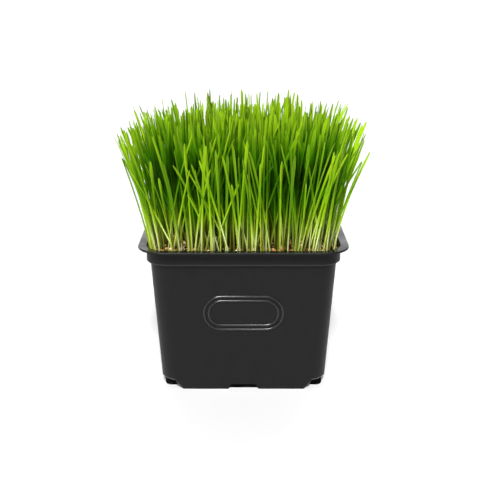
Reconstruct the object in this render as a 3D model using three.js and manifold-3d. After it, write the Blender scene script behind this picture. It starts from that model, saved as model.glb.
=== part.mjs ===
// Wheatgrass growing in a square plastic nursery pot: pot, growing medium, mat of sprouted kernels
// and the grass. Millimetres, +Z up, with the origin on the table under the middle of the pot.
import * as THREE from "three";
import { mergeVertices } from "three/addons/utils/BufferGeometryUtils.js";
import Module from "manifold-3d";

const wasm = await Module();
wasm.setup();
const { Manifold } = wasm;

// ---- Pot: driving dimensions
const RIM_WIDTH = 180;
const POT_HEIGHT = 132;
const WALL = 1.5;
const FLANGE = { overhang: 7, thickness: 1.7, radius: 24.5, round: 0.6 };
const COLLAR = { height: 13.6, radius: 18.5, step: 1.6 }; // the upright band under the flange
const BODY_TOP = { half: 80.1, radius: 17.5 };
const BODY_FOOT = { half: 72.5, radius: 16.5 }; // the tapered wall carried down to the table
const FLOOR_UNDERSIDE = 8;
const FLOOR_ROUND = 1.5;
const BEVEL = 0.3; // a rounded edge is two chamfers that meet this share of the way along it
const MOUTH_ROUND = 1.8;
const SKIRT_WALL = 2.2;
const NOTCH = { height: 4.7, halfTop: 10.9, halfFoot: 14.05 }; // the drain gap in each skirt
const FRONT_SKIRT = [[53.7, 0], [61, FLOOR_UNDERSIDE]]; // end of the skirt: [distance from middle, z]
const SIDE_SKIRT = [[46, 0], [50, 4], [60, FLOOR_UNDERSIDE]];
const FOOT = { x: 64.3, y: 58, halfX: 7, halfY: 7, radius: 6, round: 1.5 };
const DRAIN = { radius: 4, pitch: 38, sides: 10 };

// ---- What fills the pot
const FIT_GAP = 0.3; // air between pieces that rest on or against each other
const MAT = { top: POT_HEIGHT - 4.7, thickness: 2.6 };
const GROOVE = { width: 3, depth: 1.8 };
const ROOT = { width: 2.4, height: 1.5, sunk: 1.1 }; // root runs that lie in the grooves of the mat
const KERNEL = {
  halfLength: 3.9,
  halfWidth: 1.9,
  halfHeight: 2.2,
  sunk: 0.15,
  turn: 0.6,
  smallest: 0.85,
  nearest: 2.4, // least and greatest step to the next kernel, in half lengths
  farthest: 4,
};
const CROSS_RUNS = [-44, 0, 44];

// ---- Grass: the rows stand over the grooves
const ROWS = 20;
const ROW_REACH = 77; // from the middle of the pot to the first and the last row
const BLADE_SPACING = 8;
const WALL_MARGIN = 2.6;
const BLADE = {
  stemHalf: 0.85,
  middleHalf: 1.35,
  leafHalf: 1.9,
  stemThick: 1.5,
  leafThick: 1.2,
  levels: [0, 0.45, 0.84, 1], // heights of the sections, as shares of the blade's height
  narrowest: 0.88, // share of the full width
  rib: 0.65, // share of the thickness that lies behind the middle of the blade
  twist: 0.8, // radians from root to tip, at most, either way
};
const TALLEST = 124; // tips above the rim in the middle of the pot
const EDGE_DROP = 24; // how much lower the tips stand round the edge
const EDGE_POWER = 2.5; // how late that drop sets in on the way out
const SHORT_SHARE = 0.24; // how much of its height a blade may lack
const FAN = 27; // how far the outermost tips lean out
const STRAY = 9; // how far any tip strays from the fan
const BOW = 0.55; // share of the lean that comes as a bow, the rest as a straight slant
const SHIFT = 0.3; // how far a blade stands from its place in the row, in spacings
const BLADE_CLEARANCE = 0.4;
const NEIGHBOURHOOD = 32; // roots farther apart than this can't bring two blades together
const TRIES = 80;
const SEED = 20260;

const CORNER_STEPS = 5;
const OUTSIDE = 100; // anywhere beyond the pot
const EPS = 1; // how far a cutting tool runs past the face that it cuts

function drawsFrom(seed) {
  let state = seed;
  return () => {
    state = (Math.imul(state, 1664525) + 1013904223) >>> 0;
    return state / 2 ** 32;
  };
}
const draw = drawsFrom(SEED);
const between = (low, high) => low + (high - low) * draw();

// ---- Shapes and solids
function toSolid(geometry) {
  const bare = new THREE.BufferGeometry();
  bare.setAttribute("position", geometry.getAttribute("position"));
  bare.setIndex(geometry.index);
  const merged = mergeVertices(bare, 1e-4);
  return new Manifold(
    new wasm.Mesh({
      numProp: 3,
      vertProperties: merged.getAttribute("position").array,
      triVerts: new Uint32Array(merged.index.array),
    }),
  );
}

// A closed solid through rings of points, all with one count, from the lowest to the highest.
function loft(rings) {
  const count = rings[0].length;
  const positions = rings.flat().flatMap((p) => [p.x, p.y, p.z]);
  const faces = [];
  for (let level = 0; level + 1 < rings.length; level++) {
    for (let i = 0; i < count; i++) {
      const low = level * count + i;
      const lowNext = level * count + ((i + 1) % count);
      faces.push(low, lowNext, lowNext + count, low, lowNext + count, low + count);
    }
  }
  const last = (rings.length - 1) * count;
  for (let i = 1; i + 1 < count; i++) {
    faces.push(0, i + 1, i, last, last + i, last + i + 1);
  }
  const geometry = new THREE.BufferGeometry();
  geometry.setAttribute("position", new THREE.Float32BufferAttribute(positions, 3));
  geometry.setIndex(faces);
  return toSolid(geometry);
}

// One level of a square with rounded corners, centred on the Z axis unless moved.
function roundedSquare(z, halfX, radius, halfY = halfX, middle = { x: 0, y: 0 }) {
  const points = [];
  for (let corner = 0; corner < 4; corner++) {
    const signX = corner === 0 || corner === 3 ? 1 : -1;
    const signY = corner < 2 ? 1 : -1;
    for (let k = 0; k <= CORNER_STEPS; k++) {
      const angle = ((corner + k / CORNER_STEPS) * Math.PI) / 2;
      const x = middle.x + signX * (halfX - radius) + radius * Math.cos(angle);
      const y = middle.y + signY * (halfY - radius) + radius * Math.sin(angle);
      points.push(new THREE.Vector3(x, y, z));
    }
  }
  return points;
}

// A prism whose outline lies in the XZ plane and which runs along Y from one value to another.
function prismAlongY(outline, fromY, toY) {
  const shape = new THREE.Shape(outline.map(([x, z]) => new THREE.Vector2(x, z)));
  const geometry = new THREE.ExtrudeGeometry(shape, { depth: toY - fromY, bevelEnabled: false });
  geometry.rotateX(Math.PI / 2).translate(0, toY, 0);
  return toSolid(geometry);
}

function box(sizeX, sizeY, sizeZ, x, y, z) {
  return toSolid(new THREE.BoxGeometry(sizeX, sizeY, sizeZ).translate(x, y, z));
}

function quarterTurns(solid, turns) {
  return solid.rotate([0, 0, 90 * turns]);
}

// ---- The pot's outline at a height
const SHOULDER = POT_HEIGHT - COLLAR.height; // where the tapered wall steps out to the collar
const COLLAR_HALF = RIM_WIDTH / 2 - FLANGE.overhang;

function bodyAt(z) {
  const share = z / SHOULDER;
  return {
    half: THREE.MathUtils.lerp(BODY_FOOT.half, BODY_TOP.half, share),
    radius: THREE.MathUtils.lerp(BODY_FOOT.radius, BODY_TOP.radius, share),
  };
}

// A level of the tapered wall, moved inwards by inset.
function bodyLevel(z, inset = 0) {
  const { half, radius } = bodyAt(z);
  return roundedSquare(z, half - inset, radius - inset);
}

function collarLevel(z, inset = 0) {
  return roundedSquare(z, COLLAR_HALF - inset, COLLAR.radius - inset);
}

// The space inside the walls, from a floor to a top, moved inwards by gap.
function insideOfPot(floor, top, gap) {
  const inset = WALL + gap;
  const rings = [
    bodyLevel(floor, inset),
    bodyLevel(SHOULDER - WALL / 2, inset),
    collarLevel(SHOULDER + COLLAR.step, inset),
    collarLevel(top, inset),
  ];
  return loft(rings);
}

function buildPot() {
  const half = RIM_WIDTH / 2;
  const { thickness, radius, round } = FLANGE;
  const flangeLevel = (z, inset) => roundedSquare(z, half - inset, radius - inset);
  const outside = loft([
    bodyLevel(FLOOR_UNDERSIDE, FLOOR_ROUND),
    bodyLevel(FLOOR_UNDERSIDE + BEVEL * FLOOR_ROUND, BEVEL * FLOOR_ROUND),
    bodyLevel(FLOOR_UNDERSIDE + FLOOR_ROUND),
    bodyLevel(SHOULDER),
    collarLevel(SHOULDER + BEVEL * COLLAR.step, BEVEL * COLLAR.step),
    collarLevel(SHOULDER + COLLAR.step),
    collarLevel(POT_HEIGHT - thickness),
    flangeLevel(POT_HEIGHT - thickness, round),
    flangeLevel(POT_HEIGHT - thickness + round, 0),
    flangeLevel(POT_HEIGHT - round, 0),
    flangeLevel(POT_HEIGHT, round),
  ]);
  const skirtOutside = loft([bodyLevel(0), bodyLevel(FLOOR_UNDERSIDE + FLOOR_ROUND)]);
  const skirtInside = loft([
    bodyLevel(-EPS, SKIRT_WALL),
    bodyLevel(FLOOR_UNDERSIDE + FLOOR_ROUND + EPS, SKIRT_WALL),
  ]);
  const skirts = skirtOutside.subtract(skirtInside).subtract(Manifold.union(skirtCuts()));
  const inside = insideOfPot(FLOOR_UNDERSIDE + WALL, POT_HEIGHT + EPS, 0);
  const mouth = loft([
    collarLevel(POT_HEIGHT - MOUTH_ROUND, WALL),
    collarLevel(POT_HEIGHT - BEVEL * MOUTH_ROUND, WALL - BEVEL * MOUTH_ROUND),
    collarLevel(POT_HEIGHT, WALL - MOUTH_ROUND),
    collarLevel(POT_HEIGHT + EPS, WALL - MOUTH_ROUND),
  ]);
  const shell = outside.subtract(inside).subtract(mouth);
  return Manifold.union([shell, skirts, ...feet()]).subtract(Manifold.union(drainHoles()));
}

// Everything below the floor that isn't skirt: the open corners and the notch of each side.
function skirtCuts() {
  const beyondEnd = (profile) => [
    [profile[0][0], -EPS],
    ...profile,
    [OUTSIDE, FLOOR_UNDERSIDE],
    [OUTSIDE, -EPS],
  ];
  const notch = [
    [-NOTCH.halfFoot, -EPS],
    [NOTCH.halfFoot, -EPS],
    [NOTCH.halfFoot, 0],
    [NOTCH.halfTop, NOTCH.height],
    [-NOTCH.halfTop, NOTCH.height],
    [-NOTCH.halfFoot, 0],
  ];
  const cuts = [];
  for (let side = 0; side < 4; side++) {
    const profile = side % 2 ? SIDE_SKIRT : FRONT_SKIRT;
    const reach = profile.at(-1)[0];
    const right = prismAlongY(beyondEnd(profile), -OUTSIDE, -reach);
    const gap = prismAlongY(notch, -OUTSIDE, -reach);
    const pieces = [right, right.mirror([1, 0, 0]), gap];
    cuts.push(...pieces.map((piece) => quarterTurns(piece, side)));
  }
  return cuts;
}

function feet() {
  const made = [];
  const top = FLOOR_UNDERSIDE + WALL / 2;
  for (const signX of [-1, 1]) {
    for (const signY of [-1, 1]) {
      const middle = { x: signX * FOOT.x, y: signY * FOOT.y };
      const level = (z, inset) =>
        roundedSquare(z, FOOT.halfX - inset, FOOT.radius - inset, FOOT.halfY - inset, middle);
      made.push(loft([level(0, FOOT.round), level(FOOT.round, 0), level(top, 0)]));
    }
  }
  return made;
}

function drainHoles() {
  const places = [[0, 0], [-1, -1], [-1, 1], [1, -1], [1, 1]];
  return places.map(([stepX, stepY]) => {
    const height = WALL + 2 * EPS;
    const hole = new THREE.CylinderGeometry(DRAIN.radius, DRAIN.radius, height, DRAIN.sides);
    hole.rotateX(Math.PI / 2);
    hole.translate(stepX * DRAIN.pitch, stepY * DRAIN.pitch, FLOOR_UNDERSIDE + WALL / 2);
    return toSolid(hole);
  });
}

// ---- Growing medium and the mat of kernels on it
const MAT_UNDERSIDE = MAT.top - MAT.thickness;
const GROOVE_FLOOR = MAT.top - GROOVE.depth;
const ROW_PITCH = (2 * ROW_REACH) / (ROWS - 1);
const rowY = (row) => -ROW_REACH + row * ROW_PITCH;

// Half the length of a row: what the rounded corner of the collar leaves at this Y.
function rowHalfLength(y) {
  const half = COLLAR_HALF - WALL - WALL_MARGIN;
  const radius = COLLAR.radius - WALL - WALL_MARGIN;
  const intoCorner = Math.max(0, Math.abs(y) - (half - radius));
  return half - radius + Math.sqrt(radius ** 2 - intoCorner ** 2);
}

function buildMedium() {
  return insideOfPot(FLOOR_UNDERSIDE + WALL + FIT_GAP, MAT_UNDERSIDE - FIT_GAP, FIT_GAP);
}

// The mat, with a groove for each root run and a kernel wherever the ridges between them have room.
function buildMat() {
  const inset = WALL + FIT_GAP;
  const mat = loft([collarLevel(MAT_UNDERSIDE, inset), collarLevel(MAT.top, inset)]);
  const depth = GROOVE.depth + EPS;
  const z = GROOVE_FLOOR + depth / 2;
  const grooves = [];
  for (let row = 0; row < ROWS; row++) {
    const length = 2 * rowHalfLength(rowY(row)) + 2 * FIT_GAP;
    grooves.push(box(length, GROOVE.width, depth, 0, rowY(row), z));
  }
  for (const x of CROSS_RUNS) {
    grooves.push(box(GROOVE.width, 2 * ROW_REACH + GROOVE.width, depth, x, 0, z));
  }
  return Manifold.union([mat.subtract(Manifold.union(grooves)), ...kernels()]);
}

function kernels() {
  const made = [];
  for (let ridge = 0; ridge + 1 < ROWS; ridge++) {
    const y = rowY(ridge + 0.5);
    const end = rowHalfLength(y) - KERNEL.halfLength;
    let x = -end + between(0, KERNEL.halfLength);
    while (x < end) {
      const clearOfRuns = CROSS_RUNS.every(
        (run) => Math.abs(run - x) > KERNEL.halfLength + GROOVE.width / 2,
      );
      const turn = between(-KERNEL.turn, KERNEL.turn);
      const grown = between(KERNEL.smallest, 1);
      if (clearOfRuns) {
        const kernel = new THREE.OctahedronGeometry(1);
        kernel.scale(KERNEL.halfLength * grown, KERNEL.halfWidth, KERNEL.halfHeight * grown);
        kernel.rotateZ(turn).translate(x, y, MAT.top - KERNEL.sunk);
        made.push(toSolid(kernel));
      }
      x += KERNEL.halfLength * between(KERNEL.nearest, KERNEL.farthest);
    }
  }
  return made;
}

// ---- Grass
// A blade is a list of sections from the root to the tip: {x, y, z, half}, with half its width there.
function bladeFrom(x, y, calm) {
  const across = x / ROW_REACH;
  const along = y / ROW_REACH;
  const edge = Math.max(Math.abs(across), Math.abs(along));
  const stray = STRAY * (1 - calm);
  const lean = new THREE.Vector2(
    FAN * across * across * across + between(-stray, stray),
    FAN * along * along * along + between(-stray, stray),
  );
  const tip = (TALLEST - EDGE_DROP * edge ** EDGE_POWER) * (1 - SHORT_SHARE * draw());
  const low = GROOVE_FLOOR + FIT_GAP + ROOT.height - ROOT.sunk;
  const high = POT_HEIGHT + tip;
  const width = between(BLADE.narrowest, 1);
  const halves = [BLADE.stemHalf, BLADE.middleHalf * width, BLADE.leafHalf * width, 0];
  return BLADE.levels.map((share, i) => {
    const bow = (1 - BOW) * share + BOW * share * share;
    return {
      x: x + lean.x * bow,
      y: y + lean.y * bow,
      z: low + (high - low) * share,
      half: halves[i],
    };
  });
}

// The section of a blade at a height, or null above its tip.
function sectionAt(blade, z) {
  const upper = blade.findIndex((section) => section.z >= z);
  if (upper < 0) return null;
  if (upper === 0) return blade[0];
  const from = blade[upper - 1];
  const to = blade[upper];
  const share = (z - from.z) / (to.z - from.z);
  const mix = (name) => THREE.MathUtils.lerp(from[name], to[name], share);
  return { x: mix("x"), y: mix("y"), half: mix("half") };
}

const LEVELS = 16;
const levelHeights = Array.from(
  { length: LEVELS },
  (_, k) => MAT.top + ((k + 1) / LEVELS) * (POT_HEIGHT + TALLEST - MAT.top),
);

function clears(blade, other) {
  return levelHeights.every((z) => {
    const a = sectionAt(blade, z);
    const b = sectionAt(other, z);
    if (!a || !b) return true;
    return Math.hypot(a.x - b.x, a.y - b.y) > a.half + b.half + BLADE_CLEARANCE;
  });
}

// Sows every row. A blade that would touch an earlier one is drawn again, calmer each time.
function sow() {
  const sown = [];
  for (let row = 0; row < ROWS; row++) {
    const y = rowY(row);
    const end = rowHalfLength(y) - BLADE.leafHalf;
    const places = Math.round((2 * end) / BLADE_SPACING) + 1;
    for (let place = 0; place < places; place++) {
      const x = -end + (2 * end * place) / (places - 1);
      for (let attempt = 0; attempt < TRIES; attempt++) {
        const shift = place % (places - 1) ? between(-SHIFT, SHIFT) * BLADE_SPACING : 0;
        const blade = bladeFrom(x + shift, y, attempt / TRIES);
        const near = sown.filter(({ blade: [root] }) => {
          return Math.hypot(root.x - x, root.y - y) < NEIGHBOURHOOD;
        });
        if (near.every((other) => clears(blade, other.blade))) {
          sown.push({ row, blade });
          break;
        }
      }
    }
  }
  return sown;
}

// Three-sided sections: the leaf's face, and its rib behind.
function bladeSolid(blade) {
  const facing = between(0, 2 * Math.PI);
  const twist = between(-BLADE.twist, BLADE.twist);
  const rings = blade.slice(0, -1).map((section, i) => {
    const angle = facing + twist * BLADE.levels[i];
    const side = new THREE.Vector3(Math.cos(angle), Math.sin(angle), 0);
    const back = new THREE.Vector3(-side.y, side.x, 0);
    const thick = i ? BLADE.leafThick : BLADE.stemThick;
    const corner = (sideways, backwards) =>
      new THREE.Vector3(section.x, section.y, section.z)
        .addScaledVector(side, sideways * section.half)
        .addScaledVector(back, backwards * thick);
    return [corner(1, BLADE.rib - 1), corner(0, BLADE.rib), corner(-1, BLADE.rib - 1)];
  });
  const tip = blade.at(-1);
  const positions = [...rings.flat(), tip].flatMap((p) => [p.x, p.y, p.z]);
  const faces = [0, 2, 1];
  for (let level = 0; level < rings.length; level++) {
    for (let i = 0; i < 3; i++) {
      const low = 3 * level + i;
      const lowNext = 3 * level + ((i + 1) % 3);
      if (level + 1 < rings.length) {
        faces.push(low, lowNext, lowNext + 3, low, lowNext + 3, low + 3);
      } else {
        faces.push(low, lowNext, positions.length / 3 - 1);
      }
    }
  }
  const geometry = new THREE.BufferGeometry();
  geometry.setAttribute("position", new THREE.Float32BufferAttribute(positions, 3));
  geometry.setIndex(faces);
  return toSolid(geometry);
}

// The root runs of some rows, joined by cross runs, with the blades that grow from them.
function buildGrass(sown, firstRow, lastRow) {
  const z = GROOVE_FLOOR + FIT_GAP + ROOT.height / 2;
  const runs = [];
  for (let row = firstRow; row <= lastRow; row++) {
    const length = 2 * rowHalfLength(rowY(row));
    runs.push(box(length, ROOT.width, ROOT.height, 0, rowY(row), z));
  }
  const span = rowY(lastRow) - rowY(firstRow);
  const middle = (rowY(lastRow) + rowY(firstRow)) / 2;
  for (const x of CROSS_RUNS) {
    runs.push(box(ROOT.width, span, ROOT.height, x, middle, z));
  }
  const blades = sown.filter(({ row }) => row >= firstRow && row <= lastRow);
  return Manifold.union([...runs, ...blades.map(({ blade }) => bladeSolid(blade))]);
}

// ---- The scene graph
function meshOf(name, solid, color, roughness) {
  const { vertProperties, triVerts } = solid.getMesh();
  const geometry = new THREE.BufferGeometry();
  geometry.setAttribute("position", new THREE.BufferAttribute(vertProperties, 3));
  geometry.setIndex(new THREE.BufferAttribute(triVerts, 1));
  const material = new THREE.MeshStandardMaterial({
    color,
    roughness,
    metalness: 0,
    flatShading: true,
  });
  const mesh = new THREE.Mesh(geometry, material);
  mesh.name = name;
  return mesh;
}

const sown = sow();
const MIDDLE_ROW = ROWS / 2;

const tray = new THREE.Group();
tray.name = "wheatgrass_tray";
tray.add(
  meshOf("pot", buildPot(), 0x2b2b2b, 0.55),
  meshOf("growing_medium", buildMedium(), 0x2e211a, 0.95),
  meshOf("kernel_mat", buildMat(), 0xb07a3c, 0.8),
  meshOf("grass_front", buildGrass(sown, 0, MIDDLE_ROW - 1), 0x6fa51e, 0.5),
  meshOf("grass_back", buildGrass(sown, MIDDLE_ROW, ROWS - 1), 0x6fa51e, 0.5),
);

export default tray;
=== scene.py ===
import math
import random

import bmesh
import bpy
import numpy as np
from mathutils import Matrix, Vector, noise


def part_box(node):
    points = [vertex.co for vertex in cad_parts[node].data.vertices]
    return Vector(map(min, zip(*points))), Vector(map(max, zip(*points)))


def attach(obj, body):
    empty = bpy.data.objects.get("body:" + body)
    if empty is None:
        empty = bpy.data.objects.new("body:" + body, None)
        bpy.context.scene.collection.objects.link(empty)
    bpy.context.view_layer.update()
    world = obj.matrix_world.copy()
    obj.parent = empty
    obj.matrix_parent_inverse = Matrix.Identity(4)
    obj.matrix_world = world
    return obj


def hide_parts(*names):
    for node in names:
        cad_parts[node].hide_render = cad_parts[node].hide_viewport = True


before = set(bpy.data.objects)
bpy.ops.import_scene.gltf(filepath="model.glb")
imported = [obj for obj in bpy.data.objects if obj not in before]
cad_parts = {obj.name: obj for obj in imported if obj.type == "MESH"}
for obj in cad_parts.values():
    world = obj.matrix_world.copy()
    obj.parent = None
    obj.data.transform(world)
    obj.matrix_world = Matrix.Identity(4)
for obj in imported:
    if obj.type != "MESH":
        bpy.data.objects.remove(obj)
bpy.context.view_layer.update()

MM = 0.001


# ---- The pot
# One injection moulding in black polypropylene: a tapered square body under an upright collar, with
# a thin flat rim turned out round the mouth. It is hollow with a wall of 1.5 mm, stands on a skirt
# under each side, and its corners are cut away over four stub feet.

_, pot_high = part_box("pot")
RIM_HALF = pot_high.x
RIM_TOP = pot_high.z
RIM_RADIUS = 25.5 * MM
RIM_THICKNESS = 1.7 * MM
OVERHANG = 7 * MM
WALL = 1.5 * MM
COLLAR_HALF = RIM_HALF - OVERHANG
SHOULDER = RIM_TOP - 13.6 * MM
SHOULDER_HALF = 80.1 * MM
LEDGE_DEPTH = 0.1 * MM
LEDGE_ROUND = 1.2 * MM
LEDGE_CURVE = [(1, 0), (0.45, 0.13), (0.13, 0.45), (0, 1)]  # up and in, as shares of the round
FOOT_HALF = 72.5 * MM
FLOOR_UNDERSIDE = 8 * MM
SKIRT_WALL = 2.2 * MM
SKIRT_DRAFT = 0.5 * MM
LIP_ROUND = 0.5 * MM
MOUTH_ROUND = 1.8 * MM
MOUTH_CURVE = [(0.25, 0.55), (0.6, 0.85)]  # down and in, as shares of the round
MOUTH_DEPTH = 1.2  # the same, down to where the wall of the collar starts
CORNER_SEGMENTS = 14
ROUND_SEGMENTS = 4
EDGE_ROUND = 0.55 * MM
EDGE_SEGMENTS = 3
EDGE_ANGLE = math.radians(50)
CLOSE = 1e-6  # two places nearer than this are the same place


def edit(piece):
    """Opens a piece in edit mode, with nothing else selected."""
    bpy.ops.object.select_all(action="DESELECT")
    piece.select_set(True)
    bpy.context.view_layer.objects.active = piece
    bpy.ops.object.mode_set(mode="EDIT")


def done():
    """Leaves edit mode."""
    bpy.ops.object.mode_set(mode="OBJECT")


def pick(kind, wanted):
    """In edit mode, selects only the vertices, edges or faces that wanted is true of."""
    bpy.ops.mesh.select_mode(type=kind)
    bpy.ops.mesh.select_all(action="DESELECT")
    mesh = bmesh.from_edit_mesh(bpy.context.edit_object.data)
    for part in {"VERT": mesh.verts, "EDGE": mesh.edges, "FACE": mesh.faces}[kind]:
        if wanted(part):
            part.select_set(True)
    mesh.select_flush_mode()
    bmesh.update_edit_mesh(bpy.context.edit_object.data)


def new_box(low, high):
    """A box primitive between two corners, with its place in its mesh."""
    low, high = Vector(low), Vector(high)
    bpy.ops.object.select_all(action="DESELECT")
    bpy.ops.mesh.primitive_cube_add(size=1, location=(low + high) / 2, scale=high - low)
    bpy.ops.object.transform_apply(location=True, rotation=True, scale=True)
    return bpy.context.object


def is_upright(edge):
    run = edge.verts[0].co - edge.verts[1].co
    return abs(run.z) > 0.9 * run.length


def faces_at(z):
    """Picks the level faces at a height."""
    return lambda face: abs(face.calc_center_median().z - z) < CLOSE and abs(face.normal.z) > 0.9


def extrude_to(levels, z, half):
    """Extrudes the selected face through levels of (height, half width), keeping it centred."""
    for next_z, next_half in levels:
        bpy.ops.mesh.extrude_region_move(TRANSFORM_OT_translate={"value": (0, 0, next_z - z)})
        size = next_half / half
        bpy.ops.transform.resize(value=(size, size, 1), center_override=(0, 0, next_z))
        z, half = next_z, next_half


def apply_modifier(piece, kind, **settings):
    bpy.context.view_layer.objects.active = piece
    modifier = piece.modifiers.new(kind.lower(), kind)
    for name, value in settings.items():
        setattr(modifier, name, value)
    bpy.ops.object.modifier_apply(modifier=modifier.name)


def join(pieces, name):
    """Makes one piece of several, or names a single one."""
    bpy.ops.object.select_all(action="DESELECT")
    for piece in pieces:
        piece.select_set(True)
    bpy.context.view_layer.objects.active = pieces[0]
    if len(pieces) > 1:
        bpy.ops.object.join()
    pieces[0].name = name
    pieces[0].data.name = name
    return pieces[0]


def smooth(piece, degrees):
    """Shades a piece smooth, apart from edges sharper than an angle."""
    bpy.ops.object.select_all(action="DESELECT")
    piece.select_set(True)
    bpy.context.view_layer.objects.active = piece
    bpy.ops.object.shade_smooth_by_angle(angle=math.radians(degrees))


def wall_half(z):
    """Half the width of the tapered wall at a height."""
    return FOOT_HALF + (SHOULDER_HALF - FOOT_HALF) * z / SHOULDER


rim_underside = RIM_TOP - RIM_THICKNESS
shell = new_box((-RIM_HALF, -RIM_HALF, rim_underside), (RIM_HALF, RIM_HALF, RIM_TOP))
edit(shell)
pick("EDGE", is_upright)
bpy.ops.mesh.bevel(offset=RIM_RADIUS, segments=CORNER_SEGMENTS, affect="EDGES")
pick("EDGE", lambda edge: min(vert.co.z for vert in edge.verts) > RIM_TOP - CLOSE)
bpy.ops.mesh.bevel(offset=LIP_ROUND, segments=ROUND_SEGMENTS, affect="EDGES")
pick("FACE", faces_at(rim_underside))
bpy.ops.mesh.inset(thickness=OVERHANG)
outside = [
    *[(SHOULDER + up * LEDGE_ROUND, COLLAR_HALF - inward * LEDGE_ROUND) for up, inward in LEDGE_CURVE],
    (SHOULDER - LEDGE_DEPTH, SHOULDER_HALF),
    (0, FOOT_HALF),
]
extrude_to(outside, rim_underside, COLLAR_HALF)
bpy.ops.mesh.inset(thickness=SKIRT_WALL)
cavity_half = FOOT_HALF - SKIRT_WALL
extrude_to([(FLOOR_UNDERSIDE, cavity_half + SKIRT_DRAFT)], 0, cavity_half)
pick("FACE", faces_at(RIM_TOP))
mouth_half = COLLAR_HALF - WALL + MOUTH_ROUND
bpy.ops.mesh.inset(thickness=RIM_HALF - LIP_ROUND - mouth_half)
inside = [
    *[(RIM_TOP - down * MOUTH_ROUND, mouth_half - inward * MOUTH_ROUND) for down, inward in MOUTH_CURVE],
    (RIM_TOP - MOUTH_DEPTH * MOUTH_ROUND, COLLAR_HALF - WALL),
    (SHOULDER + 2 * WALL, COLLAR_HALF - WALL),
    (SHOULDER, SHOULDER_HALF - WALL),
    (FLOOR_UNDERSIDE + WALL, wall_half(FLOOR_UNDERSIDE) - WALL),
]
extrude_to(inside, RIM_TOP, mouth_half)
done()

# The open corners, the drain notch of each skirt and the drain holes are cut out of the moulding.
FRONT_END = (53 * MM, 61 * MM)  # where a skirt ends: at the table, and at the floor of the pot
SIDE_END = (46 * MM, 60 * MM)  # the same for the skirts at the sides
NOTCH_HALF = (14 * MM, 10.9 * MM)  # half the notch's width: at the table, and at its top
NOTCH_HEIGHT = 4.7 * MM
DRAIN_RADIUS = 4 * MM
DRAIN_FACETS = 32
DRAIN_PITCH = 38 * MM
DRAINS = [(0, 0), (-1, -1), (-1, 1), (1, -1), (1, 1)]  # in steps of the pitch from the middle
CEILING_ROUND = 1.9 * MM
SKIRT_END_ROUND = 1.2 * MM
CEILING = (-0.95, -1.01)  # how far a cut face looks down, as the z of its normal
SKIRT_END = (-0.4, -0.95)
NOTCH_ZONE = 30 * MM  # no edge nearer to a middle line than this belongs to an open corner
CUT_MARGIN = 0.3 * MM
BEYOND = 100 * MM
BELOW = -1 * MM


def polish_picked_faces():
    """Marks the faces picked in edit mode as polished, for the plastic to be glossy there."""
    mesh = bmesh.from_edit_mesh(bpy.context.edit_object.data)
    layer = mesh.faces.layers.float.get("polished") or mesh.faces.layers.float.new("polished")
    for face in mesh.faces:
        if face.select:
            face[layer] = 1
    bmesh.update_edit_mesh(bpy.context.edit_object.data)


def slanted(low, high, moved, shift):
    """A box whose top edge at x = moved is shifted sideways, which slants that side."""
    block = new_box(low, high)
    edit(block)
    pick("VERT", lambda vert: vert.co.z > 0 and abs(vert.co.x - moved) < CLOSE)
    bpy.ops.transform.translate(value=(shift, 0, 0))
    done()
    return block


cutters = []
for side in range(4):
    foot_end, floor_end = SIDE_END if side % 2 else FRONT_END
    inner = -floor_end
    low = (foot_end, -BEYOND, BELOW)
    high = (BEYOND, inner, FLOOR_UNDERSIDE)
    made = [slanted(low, high, foot_end, floor_end - foot_end)]
    low = (-BEYOND, -BEYOND, BELOW)
    high = (-foot_end, inner, FLOOR_UNDERSIDE)
    made.append(slanted(low, high, -foot_end, foot_end - floor_end))
    foot_half, top_half = NOTCH_HALF
    notch = new_box((-foot_half, -BEYOND, BELOW), (foot_half, inner, NOTCH_HEIGHT))
    edit(notch)
    pick("VERT", lambda vert: vert.co.z > 0)
    bpy.ops.transform.resize(value=(top_half / foot_half, 1, 1), center_override=(0, 0, 0))
    done()
    made.append(notch)
    block = join(made, "cutter")
    block.rotation_euler.z = side * math.pi / 2
    bpy.ops.object.transform_apply(location=True, rotation=True, scale=True)
    cutters.append(block)
for x, y in DRAINS:
    place = (x * DRAIN_PITCH, y * DRAIN_PITCH, FLOOR_UNDERSIDE)
    bpy.ops.object.select_all(action="DESELECT")
    bpy.ops.mesh.primitive_cylinder_add(
        vertices=DRAIN_FACETS, radius=DRAIN_RADIUS, depth=4 * WALL, location=place
    )
    bpy.ops.object.transform_apply(location=True, rotation=True, scale=True)
    cutters.append(bpy.context.object)
for cutter in cutters:
    apply_modifier(shell, "BOOLEAN", operation="DIFFERENCE", object=cutter, use_self=True)
    bpy.data.objects.remove(cutter)


def is_cut_edge(steepest, flattest):
    """Picks edges where the pot's outside meets a cut face of an open corner that looks down so far."""

    def wanted(edge):
        middle = (edge.verts[0].co + edge.verts[1].co) / 2
        near_notch = min(abs(middle.x), abs(middle.y)) < NOTCH_ZONE
        if near_notch or not CUT_MARGIN < middle.z < FLOOR_UNDERSIDE + CUT_MARGIN:
            return False
        outward = Vector((middle.x, middle.y, 0)).normalized()
        side, under = sorted(edge.link_faces, key=lambda face: -face.normal.z)
        is_side = abs(side.normal.z) < 0.15 and side.normal.dot(outward) > 0.5
        return is_side and flattest <= under.normal.z < steepest

    return wanted


edit(shell)
for lean, offset in [(CEILING, CEILING_ROUND), (SKIRT_END, SKIRT_END_ROUND)]:
    pick("EDGE", is_cut_edge(*lean))
    bpy.ops.mesh.bevel(offset=offset, segments=ROUND_SEGMENTS, affect="EDGES", clamp_overlap=False)
    polish_picked_faces()
done()
edge_rule = {"limit_method": "ANGLE", "angle_limit": EDGE_ANGLE}
apply_modifier(shell, "BEVEL", width=EDGE_ROUND, segments=EDGE_SEGMENTS, **edge_rule)

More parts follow.
